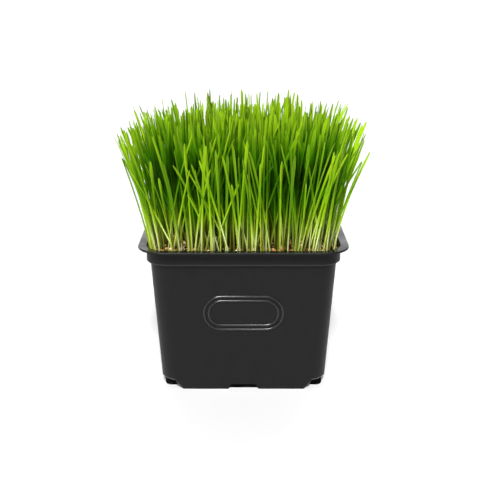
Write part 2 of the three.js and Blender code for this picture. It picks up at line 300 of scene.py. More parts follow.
# Four stub feet stand under the open corners, close to the side walls and farther from the front and
# back. They and the ribs are moulded with the pot, and are one piece here for their duller finish and
# for their painted shade, a blacker colour than the pot's.
FOOT_MIDDLE = (63.3 * MM, 58 * MM)
FOOT_REACH = 7 * MM
FOOT_ROUND = 5.5 * MM
FOOT_ROUND_SEGMENTS = 6
FOOT_EDGE = 1.5 * MM
INTO_FLOOR = FLOOR_UNDERSIDE + WALL / 2  # the feet and the ribs reach up into the floor
feet = []
for sign_x in (-1, 1):
    for sign_y in (-1, 1):
        x, y = sign_x * FOOT_MIDDLE[0], sign_y * FOOT_MIDDLE[1]
        low = (x - FOOT_REACH, y - FOOT_REACH, 0)
        high = (x + FOOT_REACH, y + FOOT_REACH, INTO_FLOOR)
        foot = new_box(low, high)
        edit(foot)
        pick("EDGE", is_upright)
        bpy.ops.mesh.bevel(offset=FOOT_ROUND, segments=FOOT_ROUND_SEGMENTS, affect="EDGES")
        pick("EDGE", lambda edge: max(vert.co.z for vert in edge.verts) < CLOSE)
        bpy.ops.mesh.bevel(offset=FOOT_EDGE, segments=ROUND_SEGMENTS, affect="EDGES")
        done()
        feet.append(foot)

# A short rib under the floor, close behind each drain notch: a dark wall put there as painted shade, so
# that what shows through the notch is black.
SHADE_RIB_HALF = 20 * MM
SHADE_RIB_BEHIND = 0.3 * MM
SHADE_RIB_FOOT = 0.2 * MM
shade_ribs = []
for side in range(4):
    front = -(FOOT_HALF - SKIRT_WALL - SHADE_RIB_BEHIND)
    rib = new_box((-SHADE_RIB_HALF, front, SHADE_RIB_FOOT), (SHADE_RIB_HALF, front + WALL, INTO_FLOOR))
    rib.rotation_euler.z = side * math.pi / 2
    bpy.ops.object.transform_apply(location=True, rotation=True, scale=True)
    shade_ribs.append(rib)
pot_feet_painted_shade = join([*feet, *shade_ribs], "pot_feet_painted_shade")
smooth(pot_feet_painted_shade, degrees=38)
pot = join([shell], "pot_moulding")
smooth(pot, degrees=38)
apply_modifier(pot, "WEIGHTED_NORMAL", keep_sharp=True)


class Value:
    """A shader socket that takes part in arithmetic, and the one way to add a node to its tree."""

    def __init__(self, tree, socket=None):
        self.tree = tree
        self.socket = socket

    def node(self, kind, settings=None, sockets=None, output=0):
        made = self.tree.nodes.new("ShaderNode" + kind)
        for name, value in (settings or {}).items():
            if name == "stops":
                elements = made.color_ramp.elements
                while len(elements) < len(value):
                    elements.new(0.5)
                for element, (position, color) in zip(elements, value):
                    element.position = position
                    element.color = (*color, 1)
            else:
                setattr(made, name, value)
        for name, value in (sockets or {}).items():
            if isinstance(value, Value):
                self.tree.links.new(value.socket, made.inputs[name])
            else:
                made.inputs[name].default_value = value
        return Value(self.tree, made.outputs[output])

    def math(self, operation, *values):
        settings = {"operation": operation}
        return self.node("Math", settings, dict(enumerate(values)))

    def __add__(self, other):
        return self.math("ADD", self, other)

    def __sub__(self, other):
        return self.math("SUBTRACT", self, other)

    def __rsub__(self, other):
        return self.math("SUBTRACT", other, self)

    def __mul__(self, other):
        return self.math("MULTIPLY", self, other)

    def __truediv__(self, other):
        return self.math("DIVIDE", self, other)

    __radd__ = __add__
    __rmul__ = __mul__

    def noise(self, scale, detail=3, roughness=0.5):
        """Noise over the piece in space. Scale is per metre."""
        place = self.node("TexCoord", output="Object")
        sockets = {"Vector": place, "Scale": scale, "Detail": detail, "Roughness": roughness}
        return self.node("TexNoise", None, sockets, "Fac")

    def along(self, axis):
        """Distance from the origin along an axis, in metres."""
        place = self.node("TexCoord", output="Object")
        return self.node("SeparateXYZ", None, {0: place}, axis)

    def height(self):
        """Height above the table, in metres."""
        return self.along("Z")

    def attribute(self, name):
        """A value stored on the piece's points or faces."""
        return self.node("Attribute", {"attribute_name": name}, None, "Fac")

    def ramp(self, low, high):
        """0 below low, 1 above high, smooth between."""
        settings = {"interpolation_type": "SMOOTHSTEP"}
        return self.node("MapRange", settings, {"Value": self, "From Min": low, "From Max": high})

    def mix(self, share, first, second):
        """A colour between two others, the second at a share of 1."""
        settings = {"data_type": "RGBA"}
        return self.node("Mix", settings, {0: share, 6: first, 7: second}, 2)

    def bump(self, height, distance, strength=1.0):
        """A normal for a relief that is distance high, in metres."""
        sockets = {"Height": height, "Distance": distance, "Strength": strength}
        return self.node("Bump", None, sockets)


def rgb(red, green, blue):
    """A socket's colour from sRGB values of 0 to 255."""
    shares = (red / 255, green / 255, blue / 255)
    linear = [((c + 0.055) / 1.055) ** 2.4 if c > 0.04 else c / 12.92 for c in shares]
    return (*linear, 1)


def new_material(name, **constants):
    """A material, the start of its node expressions, and a function that links one to its shader."""
    material = bpy.data.materials.new(name)
    material.use_nodes = True
    tree = material.node_tree
    shader = tree.nodes["Principled BSDF"]
    for socket, value in constants.items():
        shader.inputs[socket.replace("_", " ")].default_value = value

    def feed(socket, value):
        tree.links.new(value.socket, shader.inputs[socket])

    return material, Value(tree), feed


GRAIN_SCALE = 1900  # the scale of a pattern is per metre
GRAIN_DEPTH = 0.05 * MM
SINK_SCALE = 22
SINK_DEPTH = 1.6 * MM
CLOUD_SCALE = 160
SPECK_SCALE = 300
STREAK_SCALE = 45
STREAK_FADE = (0.36, 0.62)
LEDGE_HIGHLIGHT_FROM = (SHOULDER - 1.5 * MM, SHOULDER - 0.9 * MM)  # heights over which a painted highlight turns the step under the collar grey
LEDGE_HIGHLIGHT_TO = (SHOULDER + 0.9 * MM, SHOULDER + 1.4 * MM)  # and black again
RIM_FROM = (RIM_TOP - 0.2 * MM, RIM_TOP - 0.08 * MM)  # and over which the rim turns smooth
FRONT_FROM = (pot_high.y - 14 * MM, pot_high.y - 6 * MM)  # the front of the rim, from the middle
FRONT_DULLING = 0.85
WALL_ROUGHNESS = 0.46
RIM_SMOOTHING = 0.28
CLOUD_ROUGHNESS = 0.12
RIM_GLOSS = 0.06
STREAK_GLOSS = 0.4
POLISHED_GLOSS = 0.9


def black_plastic():
    """Satin moulded plastic: fine mould grain, a little sink in the panels and a painted highlight, a
    grey band on the step under the collar. The rim is smoother, with glossy streaks that fade along its
    front. Polished faces are glossy."""
    material, start, feed = new_material(
        "black_plastic", Specular_IOR_Level=0.2, Coat_Roughness=0.2, Coat_IOR=1.5
    )
    cloud = start.noise(CLOUD_SCALE, 4)
    height = start.height()
    # Painted highlight: a grey band just under the collar, where its rounded step would catch the light.
    ledge_highlight = height.ramp(*LEDGE_HIGHLIGHT_FROM) - height.ramp(*LEDGE_HIGHLIGHT_TO)
    colour = start.mix(cloud, rgb(10, 10, 10), rgb(18, 18, 18))
    feed("Base Color", start.mix(ledge_highlight, colour, rgb(46, 46, 46)))
    rim = height.ramp(*RIM_FROM)
    feed("Roughness", WALL_ROUGHNESS - rim * RIM_SMOOTHING + (cloud - 0.5) * CLOUD_ROUGHNESS)
    dull_front = (0 - start.along("Y")).ramp(*FRONT_FROM)
    streaks = start.noise(STREAK_SCALE, 3).ramp(*STREAK_FADE)
    gloss = rim * (1 - dull_front * FRONT_DULLING) * (RIM_GLOSS + streaks * STREAK_GLOSS)
    feed("Coat Weight", gloss + start.attribute("polished") * POLISHED_GLOSS)
    sink = start.bump(start.noise(SINK_SCALE, 2), SINK_DEPTH, 0.5)
    grain = {"Height": start.noise(GRAIN_SCALE, 2), "Distance": GRAIN_DEPTH, "Strength": 0.55}
    feed("Normal", start.node("Bump", None, {**grain, "Normal": sink}))
    return material


def finish_piece(piece, material, replaced):
    """Gives a piece its one material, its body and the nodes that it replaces."""
    piece.data.materials.clear()
    piece.data.materials.append(material)
    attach(piece, "root")
    if replaced:
        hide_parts(*replaced)


DULL_ROUGHNESS = 0.6
DULL_VARIATION = 0.2


def dull_plastic_painted_shade():
    """The feet and the short walls behind the notches come out of rough, unpolished parts of the mould.
    Their colour is painted shade: blacker than the rest of the pot, as if in its shade.
    """
    material, start, feed = new_material("dull_plastic_painted_shade", Specular_IOR_Level=0.04)
    # Painted shade: a blacker base colour than the pot's, for the shade under the pot.
    feed("Base Color", start.mix(start.noise(SPECK_SCALE), rgb(5, 5, 5), rgb(10, 10, 10)))
    feed("Roughness", DULL_ROUGHNESS + start.noise(CLOUD_SCALE) * DULL_VARIATION)
    feed("Normal", start.bump(start.noise(GRAIN_SCALE, 2), GRAIN_DEPTH, 0.5))
    return material


finish_piece(pot, black_plastic(), ["pot"])
finish_piece(pot_feet_painted_shade, dull_plastic_painted_shade(), [])


# ---- The panel on the front of the pot
# A blank panel is moulded on the front wall: two raised beads, one inside the other, with round
# ends. The beads come out of a polished part of the mould, so they are glossier than the wall.

PANEL_MIDDLE = 74 * MM
PANEL_BEADS = [(34 * MM, 15.5 * MM), (30 * MM, 11.5 * MM)]  # half the length, half the height
BEAD_RADIUS = 1.1 * MM
BEAD_SEGMENTS = 64
BEAD_FACETS = 12

wall_lean = math.atan((SHOULDER_HALF - FOOT_HALF) / SHOULDER)
beads = []
for half_length, half_height in PANEL_BEADS:
    bpy.ops.object.select_all(action="DESELECT")
    bpy.ops.mesh.primitive_torus_add(
        major_radius=half_height,
        minor_radius=BEAD_RADIUS,
        major_segments=BEAD_SEGMENTS,
        minor_segments=BEAD_FACETS,
    )
    bead = bpy.context.object
    edit(bead)
    for sign in (-1, 1):
        pick("VERT", lambda vert: sign * vert.co.x > CLOSE)
        bpy.ops.transform.translate(value=(sign * (half_length - half_height), 0, 0))
    done()
    bead.rotation_euler.x = math.pi / 2 + wall_lean
    bead.location = (0, -wall_half(PANEL_MIDDLE), PANEL_MIDDLE)
    bpy.ops.object.transform_apply(location=True, rotation=True, scale=True)
    beads.append(bead)
panel = join(beads, "front_panel_beads")
smooth(panel, degrees=60)

POLISH_ROUGHNESS = 0.16
POLISH_WEAR = 0.14
POLISH_WAVES = 500
POLISH_WAVE_DEPTH = 0.08 * MM


def polished_plastic():
    """The pot's plastic where the mould is polished: nearly smooth, and duller in small patches."""
    material, start, feed = new_material("polished_plastic", Specular_IOR_Level=0.5)
    wear = start.noise(SPECK_SCALE, 3)
    feed("Base Color", start.mix(wear, rgb(18, 18, 19), rgb(28, 28, 29)))
    feed("Roughness", POLISH_ROUGHNESS + wear * POLISH_WEAR)
    feed("Normal", start.bump(start.noise(POLISH_WAVES, 2), POLISH_WAVE_DEPTH, 0.5))
    return material


finish_piece(panel, polished_plastic(), [])


# ---- The growing medium
# Dark, crumbly potting mix of peat and fibre is pressed into the pot, to just under the mat of
# kernels. The mat covers it, so that only the drain holes show it.

CRUMB_SCALE = 420
CRUMB_DEPTH = 1.2 * MM
MIX_ROUGHNESS = 0.82
CRUMB_ROUGHNESS = 0.15


def potting_mix():
    """Brown crumbs and fibres of many sizes, quite dull."""
    material, start, feed = new_material("potting_mix", Specular_IOR_Level=0.1)
    crumb = start.noise(CRUMB_SCALE, 6, 0.65)
    feed("Base Color", start.mix(crumb, rgb(20, 12, 5), rgb(62, 40, 18)))
    feed("Roughness", MIX_ROUGHNESS + crumb * CRUMB_ROUGHNESS)
    feed("Normal", start.bump(crumb, CRUMB_DEPTH))
    return material


mix = potting_mix()
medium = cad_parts["growing_medium"]
for slot in medium.material_slots:
    slot.material = mix


# ---- The mat: rooted potting mix with the kernels on it
# Sprouted wheat kernels lie close together on the mix, tied to it by their roots. The surface under
# them is dark and crumbly, and lies just under the rim.

mat_low, mat_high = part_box("kernel_mat")
MAT_HALF = mat_high.x
MAT_RADIUS = 16.7 * MM
MAT_TOP = RIM_TOP - 4.7 * MM
MAT_CELLS = 90
CRUMB = 0.9 * MM
LUMPS = 160  # lumps and crumbs are per metre
LUMP_SHARE = 0.6
CRUMBS = 520
CRUMB_SHARE = 0.7
SEED = 411

draw = random.Random(SEED)


def into_round_corner(x, y, half, radius):
    """Moves a point of a square into the same square with rounded corners."""
    core = half - radius
    if abs(x) <= core or abs(y) <= core:
        return x, y
    u, v = (abs(x) - core) / radius, (abs(y) - core) / radius
    round_u = u * math.sqrt(1 - v * v / 2)
    round_v = v * math.sqrt(1 - u * u / 2)
    return math.copysign(core + round_u * radius, x), math.copysign(core + round_v * radius, y)


bpy.ops.object.select_all(action="DESELECT")
bpy.ops.mesh.primitive_grid_add(
    x_subdivisions=MAT_CELLS, y_subdivisions=MAT_CELLS, size=2 * MAT_HALF, location=(0, 0, MAT_TOP)
)
bpy.ops.object.transform_apply(location=True, rotation=True, scale=True)
mat = bpy.context.object
for vertex in mat.data.vertices:
    x, y = into_round_corner(vertex.co.x, vertex.co.y, MAT_HALF, MAT_RADIUS)
    lump = noise.noise(Vector((x, y, 0)) * LUMPS)
    crumb = noise.noise(Vector((x, y, 0.5)) * CRUMBS)
    vertex.co = (x, y, MAT_TOP + CRUMB * (LUMP_SHARE * lump + CRUMB_SHARE * crumb - 0.5))
edit(mat)
bpy.ops.mesh.select_all(action="SELECT")
bpy.ops.mesh.extrude_region_move(TRANSFORM_OT_translate={"value": (0, 0, 0)})
bpy.ops.transform.resize(value=(1, 1, 0), center_override=(0, 0, mat_low.z))
bpy.ops.mesh.select_all(action="SELECT")
bpy.ops.mesh.normals_make_consistent(inside=False)
done()
join([mat], "rooted_mix")
smooth(mat, degrees=60)
finish_piece(mat, mix, [])


def merged(node):
    """A copy of a solid's mesh with its loose triangles joined."""
    mesh = bmesh.new()
    mesh.from_mesh(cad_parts[node].data)
    bmesh.ops.remove_doubles(mesh, verts=mesh.verts, dist=CLOSE)
    return mesh


# One kernel: a plump grain with a crease along its belly and a narrower germ end. It is shaped as a
# ball of radius 1 first, and takes its size when it is placed.
KERNEL_HALF = Vector((2.9, 1.65, 1.5)) * MM
GERM_FROM = 0.7
GERM_NARROWING = (1, 0.8, 0.75)
CREASE_HALF = 0.2
CREASE_OVER = 0.3
CREASE_DEPTH = 0.2
bpy.ops.object.select_all(action="DESELECT")
bpy.ops.mesh.primitive_uv_sphere_add(
    segments=8, ring_count=7, radius=1, rotation=(0, math.pi / 2, 0)
)
bpy.ops.object.transform_apply(location=True, rotation=True, scale=True)
kernel = bpy.context.object
edit(kernel)
pick("VERT", lambda vert: vert.co.x > GERM_FROM)
bpy.ops.transform.resize(value=GERM_NARROWING, center_override=(GERM_FROM, 0, 0))
pick("VERT", lambda vert: abs(vert.co.y) < CREASE_HALF and vert.co.z > CREASE_OVER)
bpy.ops.transform.translate(value=(0, 0, -CREASE_DEPTH))
done()

KERNELS = 640
KERNEL_TRIES = 20000
KERNEL_SPACING = 4.0 * MM
KERNEL_INSET = 2 * MM  # how far the mat reaches beyond the outermost kernels
RAISED = 1.3 * MM  # a built kernel's top stands farther than this over the mat
KERNEL_SIZES = (0.82, 1.08)
KERNEL_TILT = 0.35  # either way, in radians
KERNEL_ROLL = 0.9
KERNEL_LIFT = (-0.1, 1.1)  # in millimetres over the mat


def read_points(mesh):
    """A mesh's points, one row each."""
    points = np.empty(3 * len(mesh.vertices))
    mesh.vertices.foreach_get("co", points)
    return points.reshape(-1, 3)


def kernel_places():
    """(x, y, turn) of each kernel: those of the mat as built, and more between them."""
    mesh = merged("kernel_mat")
    places = []
    for vert in mesh.verts:
        if vert.co.z > MAT_TOP + RAISED:
            ends = [edge.other_vert(vert).co for edge in vert.link_edges]
            far = max(ends, key=lambda end: (end.xy - vert.co.xy).length)
            run = far.xy - vert.co.xy
            places.append((vert.co.x, vert.co.y, math.atan2(run.y, run.x)))
    mesh.free()
    reach = MAT_HALF - KERNEL_INSET
    tries = 0
    while len(places) < KERNELS and tries < KERNEL_TRIES:
        tries += 1
        x, y = draw.uniform(-reach, reach), draw.uniform(-reach, reach)
        x, y = into_round_corner(x, y, reach, MAT_RADIUS)
        if all((x - a) ** 2 + (y - b) ** 2 > KERNEL_SPACING**2 for a, b, _ in places):
            places.append((x, y, draw.uniform(0, math.pi)))
    return places


def copies(template, name, places, attributes):
    """One mesh of many copies of a template. places is (count, vertices, 3), attributes per point."""
    count, vertices, _ = places.shape
    corners = [list(face.vertices) for face in template.data.polygons]
    faces = [[v + i * vertices for v in face] for i in range(count) for face in corners]
    mesh = bpy.data.meshes.new(name)
    mesh.from_pydata(places.reshape(-1, 3).tolist(), [], faces)
    for attribute, values in attributes.items():
        layer = mesh.attributes.new(attribute, "FLOAT", "POINT")
        values = np.broadcast_to(values, (count, vertices)).astype(np.float32)
        layer.data.foreach_set("value", values.ravel())
    piece = bpy.data.objects.new(name, mesh)
    bpy.context.scene.collection.objects.link(piece)
    return piece


def scatter_kernels():
    """All the kernels as one mesh, each of its own size, tilt, roll, height and tone."""
    shape = read_points(kernel.data) * np.array(KERNEL_HALF)
    placed, tones = [], []
    for x, y, turn in kernel_places():
        size = draw.uniform(*KERNEL_SIZES)
        tilt = draw.uniform(-KERNEL_TILT, KERNEL_TILT)
        roll = draw.uniform(-KERNEL_ROLL, KERNEL_ROLL)
        points = shape * size
        c, s = math.cos(roll), math.sin(roll)
        points = points @ np.array([[1, 0, 0], [0, c, s], [0, -s, c]])
        c, s = math.cos(tilt), math.sin(tilt)
        points = points @ np.array([[c, 0, s], [0, 1, 0], [-s, 0, c]])
        c, s = math.cos(turn), math.sin(turn)
        points = points @ np.array([[c, s, 0], [-s, c, 0], [0, 0, 1]])
        placed.append(points + np.array([x, y, MAT_TOP + draw.uniform(*KERNEL_LIFT) * MM]))
        tones.append(draw.random())
    return copies(kernel, "kernels", np.array(placed), {"tone": np.array(tones)[:, None]})


kernels = scatter_kernels()
bpy.data.objects.remove(kernel)
smooth(kernels, degrees=70)

WRINKLE_SCALE = 1400
WRINKLE_DEPTH = 0.2 * MM
WRINKLE_FADE = (0.35, 0.75)
HUSK_ROUGHNESS = 0.5


def husk():
    """Wheat bran: reddish brown to pale straw from kernel to kernel, finely wrinkled, a bit shiny."""
    material, start, feed = new_material("wheat_husk", Specular_IOR_Level=0.3)
    tone = start.attribute("tone")
    wrinkle = start.noise(WRINKLE_SCALE, 3)
    stops = [
        (0.0, rgb(116, 76, 34)[:3]),
        (0.35, rgb(166, 118, 56)[:3]),
        (0.7, rgb(204, 168, 98)[:3]),
        (1.0, rgb(240, 228, 184)[:3]),
    ]
    colour = start.node("ValToRGB", {"stops": stops}, {"Fac": tone}, "Color")
    feed("Base Color", start.mix(wrinkle.ramp(*WRINKLE_FADE) * 0.5, colour, rgb(124, 84, 46)))
    feed("Roughness", HUSK_ROUGHNESS + wrinkle * 0.25)
    feed("Normal", start.bump(wrinkle, WRINKLE_DEPTH, 0.6))
    return material


finish_piece(kernels, husk(), ["kernel_mat"])


# ---- The grass
# Young wheat plants, each a thin pale stem that opens into a flat, folded leaf with a blunt point.
# They grow from the kernels, stand upright in the middle and lean out over the rim at the edges.

RING = 6
LEVELS = [0.14, 0.34, 0.5, 0.61, 0.71, 0.81, 0.9, 0.95, 0.98]  # shares of a blade's height
OPENING_AT = [0, 0.38, 0.5, 0.6, 0.7, 0.8, 0.88, 1]
OPENING = [0, 0, 0.12, 0.3, 0.56, 0.86, 1, 1]  # how far the stem has opened into the leaf
TAPER_AT = [0, 0.81, 0.9, 0.95, 0.98, 1]
TAPER = [1, 1, 0.96, 0.87, 0.68, 0.34]
THICK_AT = [0, 0.2, 0.45, 0.8, 1]
THICKS = [0.72 * MM, 0.66 * MM, 0.42 * MM, 0.34 * MM, 0.22 * MM]
FOLDS = [0.0, 0.15, 0.55, 0.5, 0.4]  # how deep the leaf is folded, as a share of half its width
STEM_HALF = 0.78 * MM
LEAF_HALF = 1.48 * MM
SUNK = 0.6 * MM  # how deep in the mat a stem starts

# One blade of unit height: a six-sided tube cut into levels. Each copy is bent along its own path.
bpy.ops.object.select_all(action="DESELECT")
bpy.ops.mesh.primitive_cylinder_add(
    vertices=RING, radius=1, depth=1, location=(0, 0, 0.5), rotation=(0, 0, math.pi / RING)
)
bpy.ops.object.transform_apply(location=True, rotation=True, scale=True)
blade = bpy.context.object
edit(blade)
for level in LEVELS:
    bpy.ops.mesh.select_all(action="SELECT")
    bpy.ops.mesh.bisect(plane_co=(0, 0, level), plane_no=(0, 0, 1))
done()

APART = MAT_TOP + 10 * MM  # the built blades have their own points over this height
RIB_SHARE = 0.35  # where a blade's middle lies between its edges and its rib
LEAN_SHARES = (0.6, 1.12)  # of the built lean, with 1 for any share over 1
BUILT_SHARE = 0.72  # of the built width
BUILT_MOST = 1.4 * MM


def built_blades(node):
    """The built blades of a node: four points from root to tip each, and the direction of its width
    at the two in the middle. A built blade has three edges, a lower and an upper ring, and a tip."""
    mesh = merged(node)
    high = [vert for vert in mesh.verts if vert.co.z > APART]
    found, seen = [], set()
    for first in high:
        if first in seen:
            continue
        group, todo = [], [first]
        seen.add(first)
        while todo:
            vert = todo.pop()
            group.append(vert)
            for edge in vert.link_edges:
                other = edge.other_vert(vert)
                if other.co.z > APART and other not in seen:
                    seen.add(other)
                    todo.append(other)
        group.sort(key=lambda vert: -vert.co.z)
        tip, upper, lower = group[0], group[1:4], group[4:7]
        below = {edge.other_vert(vert) for vert in lower for edge in vert.link_edges}
        roots = sorted(tuple(vert.co) for vert in below if vert.co.z < APART)
        root = sum(map(Vector, roots), Vector()) / len(roots)
        points, sides = [root], []
        for a, b, c in (lower, upper):
            widest = max([(a, b, c), (b, c, a), (c, a, b)], key=lambda p: (p[0].co - p[1].co).length)
            left, right, rib = widest
            middle = (left.co + right.co) / 2
            points.append(middle.lerp(rib.co, RIB_SHARE))
            side = (left.co - right.co) / 2
            back = rib.co - middle
            if side.x * back.y - side.y * back.x < 0:
                side = -side
            sides.append(side)
        points.append(tip.co.copy())
        found.append((points, sides))
    mesh.free()
    return found


def built_plant(points, sides):
    """The plant that a built blade stands for: its root, lean, height, bow, turn, twist and widths."""
    root, lower, upper, tip = (np.array(p) for p in points)
    height = tip[2] - MAT_TOP
    at_lower, at_upper = (lower[2] - MAT_TOP) / height, (upper[2] - MAT_TOP) / height
    turn = math.atan2(sides[1].y, sides[1].x)
    earlier = math.atan2(sides[0].y, sides[0].x)
    twist = (turn - earlier + math.pi) % (2 * math.pi) - math.pi
    rate = twist / (at_upper - at_lower)
    lean = tip[:2] - root[:2]
    lower_share = (lower[:2] - root[:2]) @ lean / max(lean @ lean, 1e-12)
    bow = (at_lower - lower_share) / (at_lower - at_lower**2)
    return {
        "root": root[:2],
        "lean": lean * min(1, draw.uniform(*LEAN_SHARES)),
        "foot": MAT_TOP - SUNK,
        "height": height + SUNK,
        "bow": float(np.clip(bow, 0, 1)),
        "turn": turn - rate * at_upper,
        "twist": rate,
        "half": min(BUILT_SHARE * sides[1].length, BUILT_MOST),
        "stem": STEM_HALF,
    }


TALLEST = 124 * MM  # heights of tips over the rim, for plants in the middle
CANOPY = 108 * MM
EDGE_DROP = 24 * MM  # how much lower the tallest and the others are at the edge of the mat
CANOPY_DROP = 9 * MM
DROP_POWER = 2.5
HEIGHTS = (1.02, 0.28, 1.3)  # the most, how much less the least is, and how rare low ones are
SLENDER_HEIGHTS = (0.86, 1)
TALL_HEIGHTS = (0.9, 1)
TALL = 0.07  # the share of tall plants
REACH = 77 * MM  # a root this far from the middle lines is at the edge
SPREAD = 19 * MM  # how far plants at the edge lean out
FAN = 27 * MM  # how far beyond the mat the tallest tips may reach
FAN_SHARE = 0.85
BESIDE_MAT = 2 * MM
STRAY = (2, 18)  # millimetres by which a tip strays from where it should lean
WILD_STRAY = (18, 36)
NEAR_EDGE = 0.7
EDGE_WAY = 0.35
FACING = 0.7  # how far leaves at the sides are turned
TURN = 0.42
BOW = (0, 0.6)
TWIST = (-1, 1)
LEAST_WIDTH = 0.52
WIDTH_RANGE = 0.42
SLENDER_RANGE = 0.18
STEM_RANGE = (0.85, 1.1)


def lean_limit(tip):
    """How far from the middle a tip may reach, by its height over the rim."""
    return MAT_HALF + BESIDE_MAT + FAN_SHARE * FAN * tip / TALLEST


def random_plant(x, y, wild, slender):
    """A plant by the same rule as the built ones. A wild one leans farther, a slender one is thin."""
    across, along = x / REACH, y / REACH
    edge = min(1, max(abs(across), abs(along)))
    stray = draw.uniform(*(WILD_STRAY if wild else STRAY)) * MM
    way = draw.uniform(0, 2 * math.pi)
    if wild and edge > NEAR_EDGE:
        along_edge = 0 if abs(y) > abs(x) else math.pi / 2
        way = draw.gauss(0, EDGE_WAY) + draw.choice([0, math.pi]) + along_edge
    most, less, rarity = HEIGHTS
    tip = (CANOPY - CANOPY_DROP * edge**DROP_POWER) * (most - less * draw.random() ** rarity)
    if slender:
        tip *= draw.uniform(*SLENDER_HEIGHTS)
    elif draw.random() < TALL:
        tip = (TALLEST - EDGE_DROP * edge**DROP_POWER) * draw.uniform(*TALL_HEIGHTS)
    limit = lean_limit(tip)
    lean_x = min(max(SPREAD * across**3 + stray * math.cos(way), -limit - x), limit - x)
    lean_y = min(max(SPREAD * along**3 + stray * math.sin(way), -limit - y), limit - y)
    facing = 0 if abs(y) > abs(x) else math.copysign(FACING, x * y)
    half = LEAF_HALF * (LEAST_WIDTH + (SLENDER_RANGE if slender else WIDTH_RANGE) * draw.random())
    return {
        "root": np.array([x, y]),
        "lean": np.array([lean_x, lean_y]),
        "foot": MAT_TOP - SUNK,
        "height": RIM_TOP - MAT_TOP + tip,
        "bow": draw.uniform(*BOW),
        "turn": facing + draw.gauss(0, TURN),
        "twist": draw.uniform(*TWIST),
        "half": half,
        "stem": STEM_HALF * draw.uniform(*STEM_RANGE),
    }


SECOND_FROM = (0.25, 0.45)  # shares of the first leaf's height, and then of its widths
SECOND_RISE = (0.7, 0.96)
SECOND_WIDTH = (0.7, 0.95)
SECOND_STEM = 0.75
SECOND_SPREAD = (8, 20)  # millimetres between the two tips
SECOND_INSET = 4 * MM
SECOND_BOW = (0, 0.4)
SECOND_TURN = (-0.9, 0.9)
SECOND_TWIST = (-0.8, 0.8)


def second_leaf(plant):
    """A younger leaf that opens out of the first one's stem, about a third of the way up."""
    start = draw.uniform(*SECOND_FROM)
    share = (1 - plant["bow"]) * start + plant["bow"] * start * start
    way = draw.uniform(0, 2 * math.pi)
    spread = draw.uniform(*SECOND_SPREAD) * MM
    root = plant["root"] + plant["lean"] * share
    tip = plant["root"] + plant["lean"] + spread * np.array([math.cos(way), math.sin(way)])
    rise = plant["height"] * draw.uniform(*SECOND_RISE)
    limit = lean_limit(rise + MAT_TOP - RIM_TOP) - SECOND_INSET
    return {
        "root": root,
        "lean": np.clip(tip, -limit, limit) - root,
        "foot": plant["foot"] + plant["height"] * start,
        "height": rise - plant["height"] * start,
        "bow": draw.uniform(*SECOND_BOW),
        "turn": draw.uniform(*SECOND_TURN),
        "twist": draw.uniform(*SECOND_TWIST),
        "half": plant["half"] * draw.uniform(*SECOND_WIDTH),
        "stem": plant["stem"] * SECOND_STEM,
    }


# Painted shade: a blade's colour is darkened by how deep it stands inside the stand, from its sides and
# from its top, in place of the light that does not reach in.
SIDE_DEPTH = 19 * MM  # how far into the stand the light reaches from the side
TOP_DEPTH = 50 * MM  # and from above
FAN_POWER = 1.3
TOP_POWER = 1.15
FOOT_AT = [0, 8 * MM, 22 * MM, 60 * MM]  # heights over the rim
FOOT_SHADE = [0.98, 0.7, 0.4, 0.96]  # the share of the painted shade there: less where pale stems pass light


def grow(plants, name):
    """One mesh with a blade for each plant. Its points keep the plant's tone, where they lie across and
    along the blade, and how much painted shade they get for standing deep among the others."""

    def column(key):
        return np.array([plant[key] for plant in plants])[:, None]

    across, thick, along = read_points(blade.data).T
    t = along[None, :]
    bow = column("bow")
    root = np.array([plant["root"] for plant in plants])
    lean = np.array([plant["lean"] for plant in plants])
    share = (1 - bow) * t + bow * t * t
    slope = (1 - bow) + 2 * bow * t
    x = root[:, :1] + lean[:, :1] * share
    y = root[:, 1:] + lean[:, 1:] * share
    z = column("foot") + column("height") * t
    up = np.broadcast_to(column("height"), x.shape)
    tangent = np.stack([lean[:, :1] * slope, lean[:, 1:] * slope, up], -1)
    tangent /= np.linalg.norm(tangent, axis=-1, keepdims=True)
    angle = column("turn") + column("twist") * t
    side = np.stack([np.cos(angle), np.sin(angle), np.zeros_like(angle)], -1)
    side -= tangent * np.sum(side * tangent, -1, keepdims=True)
    side /= np.linalg.norm(side, axis=-1, keepdims=True)
    front = np.cross(tangent, side)
    opening = np.interp(along, OPENING_AT, OPENING)[None, :]
    taper = np.interp(along, TAPER_AT, TAPER)[None, :]
    width = (column("stem") + (column("half") - column("stem")) * opening) * taper
    depth = np.interp(along, THICK_AT, THICKS)[None, :]
    fold = np.interp(along, THICK_AT, FOLDS)[None, :]
    out = thick[None, :] * depth + np.abs(across)[None, :] * fold * width
    points = np.stack([x, y, z], -1)
    points = points + side * (across[None, :] * width)[..., None] + front * out[..., None]
    tone = np.array([draw.random() for _ in plants])[:, None]
    rise = np.clip((z - RIM_TOP) / TALLEST, 0, 1)
    # Painted shade, kept on the points: the deeper a point lies inside the stand's sides and under its
    # top, the more shade is painted on it.
    side_depth = MAT_HALF + FAN * rise**FAN_POWER - np.maximum(np.abs(x), np.abs(y))
    top_depth = RIM_TOP + CANOPY - z
    foot_shade = np.interp(z - RIM_TOP, FOOT_AT, FOOT_SHADE)
    from_side = np.clip(side_depth / SIDE_DEPTH, 0, 1)
    from_top = np.clip(top_depth / TOP_DEPTH, 0, 1)
    shelter = from_side**2 * (3 - 2 * from_side) * from_top**TOP_POWER * foot_shade
    attributes = {"tone": tone, "across": across[None, :], "along": t, "shelter": shelter}
    return copies(blade, name, points, attributes)


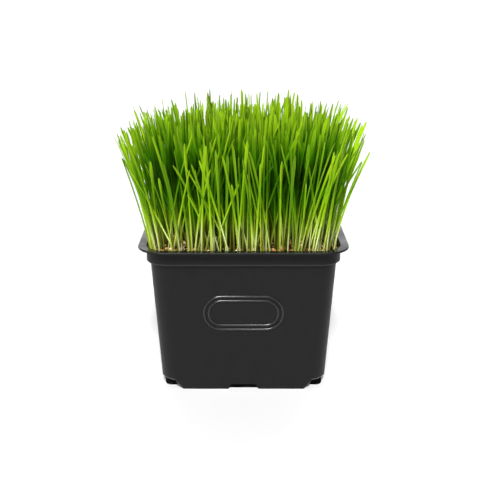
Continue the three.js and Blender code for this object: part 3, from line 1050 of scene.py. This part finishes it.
EXTRA = 660  # plants between the built ones
SLENDER = 160  # and slender ones near the edges
EDGE_BAND = 20 * MM
ROOT_INSET = 1.1 * MM
ROOT_SPACING = 1.7 * MM
WILD = 0.25  # shares of wild plants and of plants with a second leaf
WILD_SLENDER = 0.45
SECOND = 0.1
CORNER = (48 * MM, -30 * MM)  # the two front corners are thinner, beyond this
CORNER_THINNING = 0.72
ROW = 30  # more plants along the two sides of the mat, near its front corners
ROW_WIDTH = 9 * MM
ROW_END = -35 * MM
ROW_LEFT = 0.75
ROW_SLENDER = 0.4
ROW_SPACING = 1.6 * MM

built = []
for node in ("grass_front", "grass_back"):
    built += [built_plant(*found) for found in built_blades(node)]
roots = [tuple(plant["root"]) for plant in built]
root_reach = MAT_HALF - ROOT_INSET


def is_free(x, y, spacing):
    """True where no plant is rooted nearer than the spacing."""
    return all((x - a) ** 2 + (y - b) ** 2 > spacing**2 for a, b in roots)


extra = []
while len(extra) < EXTRA + SLENDER:
    x, y = draw.uniform(-root_reach, root_reach), draw.uniform(-root_reach, root_reach)
    x, y = into_round_corner(x, y, root_reach, MAT_RADIUS)
    slender = len(extra) >= EXTRA
    if slender and max(abs(x), abs(y)) < root_reach - EDGE_BAND:
        continue
    in_front_corner = y < CORNER[1] and abs(x) > CORNER[0]
    if in_front_corner and draw.random() < CORNER_THINNING:
        continue
    if is_free(x, y, ROOT_SPACING):
        roots.append((x, y))
        wild = draw.random() < (WILD_SLENDER if slender else WILD)
        extra.append(random_plant(x, y, wild, slender))
pairs = [second_leaf(plant) for plant in built + extra if draw.random() < SECOND]
row = []
while len(row) < ROW:
    side_sign = -1 if draw.random() < ROW_LEFT else 1
    x = side_sign * draw.uniform(root_reach - ROW_WIDTH, root_reach)
    y = draw.uniform(-root_reach, ROW_END)
    x, y = into_round_corner(x, y, root_reach, MAT_RADIUS)
    if is_free(x, y, ROW_SPACING):
        roots.append((x, y))
        slender = draw.random() < ROW_SLENDER
        row.append(random_plant(x, y, False, slender))
plants = built + extra + pairs + row
front_plants = [plant for plant in plants if plant["root"][1] < 0]
back_plants = [plant for plant in plants if plant["root"][1] >= 0]


STAND = 0.12  # the height of the stand over the mat, which the colours are spread over
PATCH_SCALE = 60
PATCH_SHIFT = 0.1  # how far patches and plants differ in it
TONE_SHIFT = 0.14
DEEP_FROM = (0.25, 0.95)  # the tones over which a leaf turns to the deeper green
VEINS = 26  # radians from the middle of a blade to its edge
VEIN_SHARE = 0.12
VEIN_DEPTH = 0.06 * MM
RIB_FADE = (0.04, 0.16)  # across the blade, from its middle
RIB_PALENESS = 0.3
MARGIN_HIGHLIGHT_FADE = (0.6, 0.87)
MARGIN_HIGHLIGHT_PALENESS = 0.5
SHEATH_HIGHLIGHT_AT = 0.35  # a painted highlight: a near-white line runs up one side of the pale stem
SHEATH_HIGHLIGHT_FADE = (0.1, 0.5)
SHEATH_HIGHLIGHT_END = (0.05, 0.27)  # shares of the stand's height
SHEATH_HIGHLIGHT_SHADE = (0.04, 0.5)
SHEATH_HIGHLIGHT_DULLING = 0.8
SHEATH_HIGHLIGHT_PALENESS = 0.92
TIP_LIGHT_FADE = (0.58, 0.96)  # along the blade: painted light, the tip stays bright and the blade below it is painted a deeper green
BELOW_TIP_SHADE_RISE = (0.2, 0.45)
BELOW_TIP_SHADE_SHARE = 0.5
SHADE_GREEN = (0, 0.6)
SHADE_GREEN_RISE = (0.12, 0.35)
FOOT_RISE = (0.05, 0.3)
DARKEST_SHADE = 0.97
LEAF_ROUGHNESS = 0.4
LEAF_GLOSS = 0.55
GLOSS_RISE = (0.06, 0.3)
LIGHT_THROUGH = 0.27


def leaf():
    """Pale at the foot where the light never reached it, then fresh green, with fine long veins and a
    pale rib. Painted highlights: pale lines along its edges, a near-white line up one side of the stem,
    and a tip brighter than the deeper green below it. Painted shade: deep in the stand it turns a deeper
    green, then nearly black. Light shines through."""
    material, start, feed = new_material(
        "wheat_leaf", Specular_IOR_Level=0.04, Coat_Roughness=0.25, Coat_IOR=1.6
    )
    tone = start.attribute("tone")
    across = start.attribute("across")
    shelter = start.attribute("shelter")
    from_middle = start.math("ABSOLUTE", across)
    patch = start.noise(PATCH_SCALE, 3)
    rise = (start.height() - MAT_TOP) / STAND
    rise = rise + (patch - 0.5) * PATCH_SHIFT + (tone - 0.5) * TONE_SHIFT
    deeper = tone.ramp(*DEEP_FROM)
    fresh = [
        (0.0, rgb(180, 184, 40)[:3]),
        (0.09, rgb(192, 211, 28)[:3]),
        (0.21, rgb(162, 203, 10)[:3]),
        (0.4, rgb(148, 192, 2)[:3]),
        (0.65, rgb(152, 194, 6)[:3]),
        (1.0, rgb(132, 169, 4)[:3]),
    ]
    older = [
        (0.0, rgb(178, 187, 84)[:3]),
        (0.3, rgb(104, 152, 5)[:3]),
        (0.65, rgb(90, 140, 2)[:3]),
        (1.0, rgb(78, 122, 2)[:3]),
    ]
    young = start.node("ValToRGB", {"stops": fresh}, {"Fac": rise}, "Color")
    old = start.node("ValToRGB", {"stops": older}, {"Fac": rise}, "Color")
    vein = start.math("COSINE", across * VEINS)
    rib = 1 - from_middle.ramp(*RIB_FADE)
    # Painted highlight: pale lines along both edges of a leaf, where its edges would catch the light.
    margin_highlight = from_middle.ramp(*MARGIN_HIGHLIGHT_FADE)
    # Painted highlight: a near-white line up one side of a stem's pale foot, where a round stem would
    # catch the light; it dulls in the painted shade.
    sheath_highlight = 1 - start.math("ABSOLUTE", across - SHEATH_HIGHLIGHT_AT).ramp(*SHEATH_HIGHLIGHT_FADE)
    sheath_highlight = sheath_highlight * (1 - rise.ramp(*SHEATH_HIGHLIGHT_END))
    sheath_highlight = sheath_highlight * (1 - shelter.ramp(*SHEATH_HIGHLIGHT_SHADE) * SHEATH_HIGHLIGHT_DULLING) * SHEATH_HIGHLIGHT_PALENESS
    # Painted light: below its tip a blade is painted a deeper green, so that the tip looks lit from
    # above.
    shaded_below_tip = 1 - start.attribute("along").ramp(*TIP_LIGHT_FADE)
    # Painted shade: in it the colour turns a deeper green, then nearly black, and brown at the foot.
    shade_greening = shelter.ramp(*SHADE_GREEN) * rise.ramp(*SHADE_GREEN_RISE)
    dark = start.mix(rise.ramp(*FOOT_RISE), rgb(24, 18, 0), rgb(2, 14, 0))
    shade_darkening = shelter * DARKEST_SHADE
    colour = young
    for share, layer in [
        (deeper, old),
        ((vein * 0.5 + 0.5) * VEIN_SHARE, rgb(78, 128, 6)),
        (rib * RIB_PALENESS, rgb(172, 206, 30)),
        (margin_highlight * MARGIN_HIGHLIGHT_PALENESS, rgb(192, 220, 74)),
        (sheath_highlight, rgb(255, 255, 226)),
        (shaded_below_tip * rise.ramp(*BELOW_TIP_SHADE_RISE) * BELOW_TIP_SHADE_SHARE, rgb(74, 146, 0)),
        (shade_greening, rgb(74, 146, 0)),
        (shade_darkening, dark),
    ]:
        colour = start.mix(share, colour, layer)
    feed("Base Color", colour)
    feed("Roughness", LEAF_ROUGHNESS + patch * 0.14)
    feed("Coat Weight", (1 - shelter) * (1 - rise.ramp(*GLOSS_RISE) * 0.9) * LEAF_GLOSS)
    feed("Normal", start.bump(vein, VEIN_DEPTH, 0.5))
    through = start.node("BsdfTranslucent", None, {"Color": rgb(155, 198, 4)})
    # The light through the leaf takes the same painted highlight and painted shade.
    for share, light in [
        (deeper, rgb(127, 171, 3)),
        (sheath_highlight, rgb(224, 236, 180)),
        (shade_greening, rgb(121, 174, 1)),
        (shade_darkening, rgb(108, 138, 1)),
    ]:
        other = start.node("BsdfTranslucent", None, {"Color": light})
        through = start.node("MixShader", None, {0: share, 1: through, 2: other})
    tree = start.tree
    shader = Value(tree, tree.nodes["Principled BSDF"].outputs[0])
    both = start.node("MixShader", None, {0: LIGHT_THROUGH, 1: shader, 2: through})
    tree.links.new(both.socket, tree.nodes["Material Output"].inputs["Surface"])
    return material


leaf_material = leaf()
for name, some, node in [
    ("blades_front", front_plants, "grass_front"),
    ("blades_back", back_plants, "grass_back"),
]:
    grass = grow(some, name)
    smooth(grass, degrees=65)
    finish_piece(grass, leaf_material, [node])
bpy.data.objects.remove(blade)


# ---- The stage
# A plain white table in a dim room with a bright backdrop. The strongest soft lamp stands high at
# the front left, a weaker one behind and a broad one overhead. A fourth lights the table alone.

TABLE_SIZE = 120

bpy.ops.object.select_all(action="DESELECT")
bpy.ops.mesh.primitive_plane_add(size=TABLE_SIZE, location=(0, 0, 0))
floor = bpy.context.object
floor.name = "floor"
material, start, feed = new_material("white_floor", Roughness=0.8, Specular_IOR_Level=0.1)
feed("Base Color", start.mix(start.noise(3), rgb(246, 246, 246), rgb(249, 249, 249)))
floor.data.materials.append(material)

ROOM_GLOW = 0.12
BACKDROP_GLOW = 1.0
BACKDROP_FROM = (0.3, 0.8)  # how far a direction points back, from the table
world = bpy.data.worlds.new("studio")
bpy.context.scene.world = world
world.use_nodes = True
sky = Value(world.node_tree)
outward = sky.node("TexCoord", output="Generated")
back = sky.node("SeparateXYZ", None, {0: outward}, "Y")
glow = ROOM_GLOW + back.ramp(*BACKDROP_FROM) * BACKDROP_GLOW
seen = sky.node("LightPath", output="Is Camera Ray")  # the room itself shows plain white
strength = glow * (1 - seen) + seen
backdrop = world.node_tree.nodes["Background"]
world.node_tree.links.new(strength.socket, backdrop.inputs["Strength"])
backdrop.inputs["Color"].default_value = (1, 1, 1, 1)


def lamp(name, direction, spread, strength, on_floor=False):
    """A distant lamp, spread over an angle in degrees, that lights all but the floor. With on_floor
    it lights the floor alone, and only the pot casts its shadow there."""
    data = bpy.data.lights.new(name, "SUN")
    data.angle = math.radians(spread)
    data.energy = strength
    holder = bpy.data.objects.new(name, data)
    bpy.context.scene.collection.objects.link(holder)
    holder.rotation_euler = Vector(direction).to_track_quat("Z", "Y").to_euler()
    lit = bpy.data.collections.new(name + "_lit")
    lit.objects.link(floor)
    holder.light_linking.receiver_collection = lit
    lit.collection_objects[0].light_linking.link_state = "INCLUDE" if on_floor else "EXCLUDE"
    if on_floor:
        shading = bpy.data.collections.new(name + "_shading")
        shading.objects.link(pot)
        holder.light_linking.blocker_collection = shading


lamp("key", direction=(-0.42, -1.0, 1.25), spread=24, strength=7.5)
lamp("back", direction=(0.0, 0.8, 1.0), spread=20, strength=3.4)
lamp("overhead", direction=(0, 0, 1), spread=60, strength=3.6)
lamp("table", direction=(0, -1, 0.9), spread=12, strength=4.3, on_floor=True)

CAMERA_BACK = 0.764
CAMERA_ABOVE_RIM = 0.212
CAMERA_PITCH = math.radians(16.57)
CAMERA_LENS = 64.1
CAMERA_SENSOR = 36
CAMERA_SHIFT = -3.5 / 480  # columns of the picture, which is 480 wide
camera_data = bpy.data.cameras.new("camera")
camera_data.lens = CAMERA_LENS
camera_data.sensor_width = CAMERA_SENSOR
camera_data.shift_x = CAMERA_SHIFT
camera = bpy.data.objects.new("camera", camera_data)
bpy.context.scene.collection.objects.link(camera)
camera.location = (0, -CAMERA_BACK, RIM_TOP + CAMERA_ABOVE_RIM)
camera.rotation_euler = (math.pi / 2 - CAMERA_PITCH, 0, 0)
bpy.context.scene.camera = camera
bpy.context.scene.view_settings.view_transform = "Standard"
